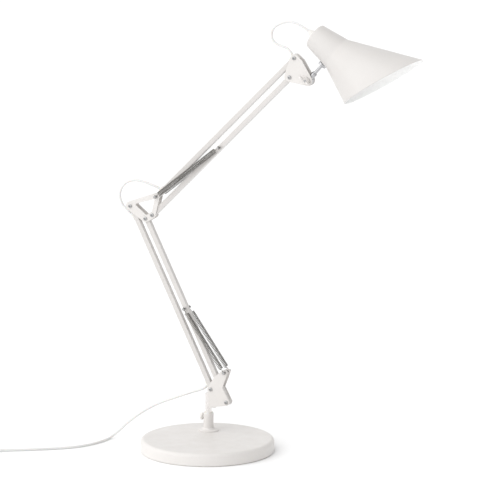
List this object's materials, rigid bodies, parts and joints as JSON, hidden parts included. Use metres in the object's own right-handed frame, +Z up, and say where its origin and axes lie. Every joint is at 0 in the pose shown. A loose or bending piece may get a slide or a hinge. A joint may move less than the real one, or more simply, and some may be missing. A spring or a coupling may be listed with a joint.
{
  "type": "swing arm desk lamp",
  "caption": "White swing arm desk lamp: round weighted base, two spring-balanced parallel arms, tilting bell shade, mains cord with in-line switch and plug.",
  "frame": {"origin": "on the floor, under the axis of the base's socket", "axes": "+Z up; the arms move in the XZ plane and the shade reaches towards +X"},
  "size_m": [0.827, 0.503, 0.8058],
  "materials": {
    "white_paint": "satin",
    "cast_weight": "matt",
    "foam_pad": "matt",
    "steel_pin": "satin",
    "screw_steel": "satin",
    "spring_steel": "polished",
    "nylon": "matt",
    "white_plastic": "gloss",
    "cord_jacket": "satin",
    "chromed": "polished",
    "plated_steel": "satin",
    "brass_thread": "satin",
    "holder_plastic": "gloss",
    "lead_insulation": "satin",
    "tie_plastic": "satin"
  },
  "bodies": {
    "base": {"base_cover": "white_paint", "base_weight": "cast_weight", "base_pad": "foam_pad", "base_socket": "white_paint", "socket_bush": "nylon", "socket_washer": "plated_steel", "socket_nut": "plated_steel", "supply_cord": "cord_jacket", "switch_case": "white_plastic", "to_coil_cord": "cord_jacket", "cord_coil": "cord_jacket", "coil_tie": "tie_plastic", "to_plug_cord": "cord_jacket", "plug_boot": "cord_jacket", "plug": "white_plastic", "plug_pins": "plated_steel"},
    "thumb_screw": {"thumb_screw": "white_plastic"},
    "rocker": {"switch_rocker": "white_plastic"},
    "fork": {"pivot_pin": "steel_pin", "fork_bracket": "white_paint", "fork_screws": "screw_steel", "fork_nuts": "screw_steel", "fork_spacers": "nylon", "fork_spring_studs": "screw_steel", "lower_springs": "spring_steel"},
    "lower_rear_link": {"lower_rear_tube": "white_paint", "lower_tube_plugs": "nylon", "lower_cord_grommets": "nylon", "lower_arm_cord": "cord_jacket"},
    "lower_front_link": {"lower_front_tube": "white_paint", "lower_front_plugs": "nylon", "lower_spring_pin": "screw_steel"},
    "elbow": {"elbow_plates": "white_paint", "elbow_screws": "screw_steel", "elbow_nuts": "screw_steel", "elbow_spacers": "nylon", "upper_springs": "spring_steel"},
    "upper_rear_link": {"upper_rear_tube": "white_paint", "upper_tube_plugs": "nylon", "upper_cord_grommets": "nylon", "upper_arm_cord": "cord_jacket"},
    "upper_front_link": {"upper_front_tube": "white_paint", "upper_front_plugs": "nylon", "upper_spring_pin": "screw_steel"},
    "head": {"head_plates": "white_paint", "head_screws": "screw_steel", "head_nuts": "screw_steel", "head_spacers": "nylon", "tilt_bolt": "screw_steel"},
    "wing_nut": {"wing_nut": "white_plastic"},
    "tilt_block": {"tilt_block": "white_paint"},
    "shade": {"shade_stem": "chromed", "stem_nut": "chromed", "shade": "white_paint", "holder_nipple": "plated_steel", "lamp_holder": "holder_plastic", "lamp_shell": "brass_thread", "lamp_contact": "brass_thread", "lamp_leads": "lead_insulation", "cord_gland": "white_plastic"}
  },
  "joints": [
    {"name": "base_swivel", "type": "hinge", "parent": "base", "child": "fork", "pos_m": [0, 0, 0.058], "axis": [0, 0, 1], "range_deg": [-170, 170], "deforming": ["supply_cord"]},
    {"name": "thumb_screw_turn", "type": "hinge", "parent": "base", "child": "thumb_screw", "pos_m": [-0.01, 0, 0.05], "axis": [-1, 0, 0], "range_deg": [-720, 720]},
    {"name": "switch_rock", "type": "hinge", "parent": "base", "child": "rocker", "pos_m": [-0.361, -0.2495, 0.0125], "axis": [0.4384, -0.8988, 0], "range_deg": [-7, 7]},
    {"name": "lower_arm_lift", "type": "hinge", "parent": "fork", "child": "lower_rear_link", "pos_m": [0.008, 0, 0.105], "axis": [0, 1, 0], "range_deg": [-13, 65], "deforming": ["lower_arm_cord"]},
    {"name": "lower_front_pivot", "type": "hinge", "parent": "fork", "child": "lower_front_link", "pos_m": [0.04, 0, 0.083], "axis": [0, 1, 0], "range_deg": [-13, 65], "deforming": ["lower_springs"]},
    {"name": "elbow_level", "type": "hinge", "parent": "lower_rear_link", "child": "elbow", "pos_m": [-0.15963, 0, 0.44268], "axis": [0, 1, 0], "range_deg": [-65, 13]},
    {"name": "upper_arm_lift", "type": "hinge", "parent": "elbow", "child": "upper_rear_link", "pos_m": [-0.10463, 0, 0.46418], "axis": [0, 1, 0], "range_deg": [-15, 60], "deforming": ["upper_arm_cord"]},
    {"name": "upper_front_pivot", "type": "hinge", "parent": "elbow", "child": "upper_front_link", "pos_m": [-0.11363, 0, 0.42868], "axis": [0, 1, 0], "range_deg": [-15, 60], "deforming": ["upper_springs"]},
    {"name": "head_level", "type": "hinge", "parent": "upper_rear_link", "child": "head", "pos_m": [0.17808, 0, 0.73862], "axis": [0, 1, 0], "range_deg": [-60, 15]},
    {"name": "wing_nut_turn", "type": "hinge", "parent": "head", "child": "wing_nut", "pos_m": [0.20408, -0.014, 0.69912], "axis": [0, -1, 0], "range_deg": [-720, 720]},
    {"name": "shade_tilt", "type": "hinge", "parent": "head", "child": "tilt_block", "pos_m": [0.20408, 0, 0.69912], "axis": [0, 1, 0], "range_deg": [-30, 60]},
    {"name": "shade_swivel", "type": "hinge", "parent": "tilt_block", "child": "shade", "pos_m": [0.21773, 0, 0.71373], "axis": [0.683, 0, 0.7305], "range_deg": [-90, 90]}
  ],
  "couplings": [
    {"joint": "lower_front_pivot", "follows": "lower_arm_lift", "ratio": 1},
    {"joint": "elbow_level", "follows": "lower_arm_lift", "ratio": -1},
    {"joint": "upper_front_pivot", "follows": "upper_arm_lift", "ratio": 1},
    {"joint": "head_level", "follows": "upper_arm_lift", "ratio": -1}
  ]
}
